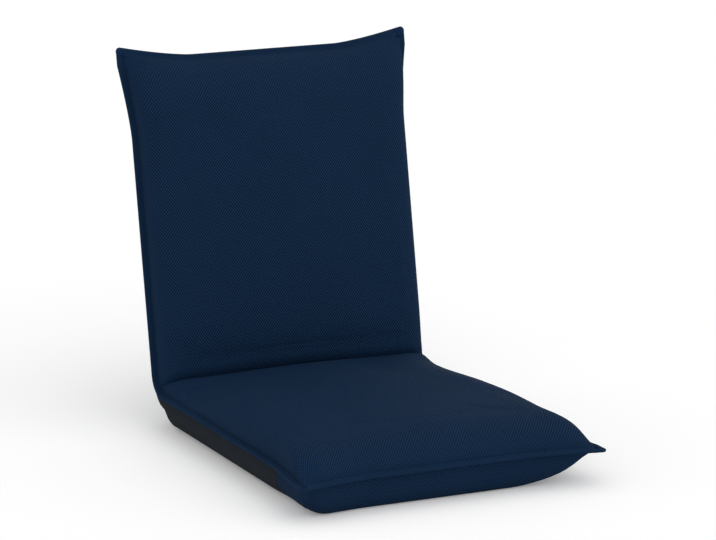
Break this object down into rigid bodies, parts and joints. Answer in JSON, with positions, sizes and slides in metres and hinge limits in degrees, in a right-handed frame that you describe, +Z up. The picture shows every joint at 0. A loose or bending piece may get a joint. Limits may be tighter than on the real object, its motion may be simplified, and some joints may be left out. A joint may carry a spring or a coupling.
{
  "type": "folding floor chair",
  "caption": "Legless floor chair: padded seat and back in dark mesh on a folding steel frame with ratchet hinges, which reclines flat and folds shut.",
  "frame": {"origin": "on the floor, at the middle of the flat base that the seat rests on", "axes": "+X across the seat, -Y to the front, +Z up"},
  "size_m": [0.4246, 0.609, 0.5002],
  "materials": {
    "navy_mesh": "air mesh, matt with a low sheen",
    "base_cloth": "plain black woven lining, matt",
    "welt": "folded and stitched edge of the same mesh",
    "foam": "open-cell polyurethane foam",
    "felt": "needled felt",
    "webbing": "woven polypropylene",
    "frame_steel": "black powder coat, satin",
    "hinge_steel": "zinc plated, satin",
    "rivet_steel": "zinc plated, bright",
    "spring_steel": "blued",
    "zip_tape": "woven polyester tape",
    "zip_coil": "dyed polyester coil",
    "zip_metal": "painted die-cast zinc"
  },
  "bodies": {
    "seat": {"seat_cover_top": "navy_mesh", "seat_cover_nose": "navy_mesh", "seat_base_cloth": "base_cloth", "hinge_gusset": "base_cloth", "seat_welt": "welt", "seat_foam_top": "foam", "seat_foam_base": "foam", "seat_felt": "felt", "seat_strap_1": "webbing", "seat_strap_2": "webbing", "seat_strap_3": "webbing", "seat_frame": "frame_steel", "seat_cross_tube": "frame_steel", "left_case_outer": "hinge_steel", "left_case_inner": "hinge_steel", "left_pawl_spring": "spring_steel", "right_case_outer": "hinge_steel", "right_case_inner": "hinge_steel", "right_pawl_spring": "spring_steel", "pivot_rivets": "rivet_steel", "pawl_pins": "rivet_steel", "spring_pins": "rivet_steel", "seat_rivets": "rivet_steel"},
    "back": {"back_cover_front": "navy_mesh", "back_cover_rear": "navy_mesh", "back_welt": "welt", "back_foam_front": "foam", "back_foam_rear": "foam", "back_felt": "felt", "back_strap_1": "webbing", "back_strap_2": "webbing", "back_strap_3": "webbing", "back_frame": "frame_steel", "back_cross_tube": "frame_steel", "left_ratchet_arm": "hinge_steel", "right_ratchet_arm": "hinge_steel", "back_rivets": "rivet_steel", "zip_tapes": "zip_tape", "zip_chain": "zip_coil"},
    "left_pawl": {"left_pawl": "hinge_steel"},
    "right_pawl": {"right_pawl": "hinge_steel"},
    "left_release_cam": {"left_release_cam": "hinge_steel"},
    "right_release_cam": {"right_release_cam": "hinge_steel"},
    "zip_slider": {"zip_slider": "zip_metal"},
    "zip_pull": {"zip_pull": "zip_metal"}
  },
  "joints": [
    {"name": "recline", "type": "hinge", "parent": "seat", "child": "back", "pos_m": [0, 0.237, 0.046], "axis": [-1, 0, 0], "range_deg": [-72, 79.2], "deforming": ["seat_foam_top", "seat_cover_top", "back_foam_front", "back_cover_front", "hinge_gusset"]},
    {"name": "left_pawl_lift", "type": "hinge", "parent": "seat", "child": "left_pawl", "pos_m": [-0.158, 0.2134, 0.0275], "axis": [-1, 0, 0], "range_deg": [0, 5], "stiffness_Nm_per_rad": 0.05, "springref_deg": -11.46, "deforming": ["left_pawl_spring"]},
    {"name": "right_pawl_lift", "type": "hinge", "parent": "seat", "child": "right_pawl", "pos_m": [0.158, 0.2134, 0.0275], "axis": [-1, 0, 0], "range_deg": [0, 5], "stiffness_Nm_per_rad": 0.05, "springref_deg": -11.46, "deforming": ["right_pawl_spring"]},
    {"name": "left_cam_turn", "type": "hinge", "parent": "seat", "child": "left_release_cam", "pos_m": [-0.158, 0.237, 0.046], "axis": [-1, 0, 0], "range_deg": [-6, 6]},
    {"name": "right_cam_turn", "type": "hinge", "parent": "seat", "child": "right_release_cam", "pos_m": [0.158, 0.237, 0.046], "axis": [-1, 0, 0], "range_deg": [-6, 6]},
    {"name": "zip_run", "type": "slide", "parent": "back", "child": "zip_slider", "axis": [1, 0, 0], "range_m": [0, 0.272]},
    {"name": "pull_swing", "type": "hinge", "parent": "zip_slider", "child": "zip_pull", "pos_m": [-0.136, 0.28879, 0.09924], "axis": [0, 0.1874, 0.9823], "range_deg": [0, 170]}
  ]
}
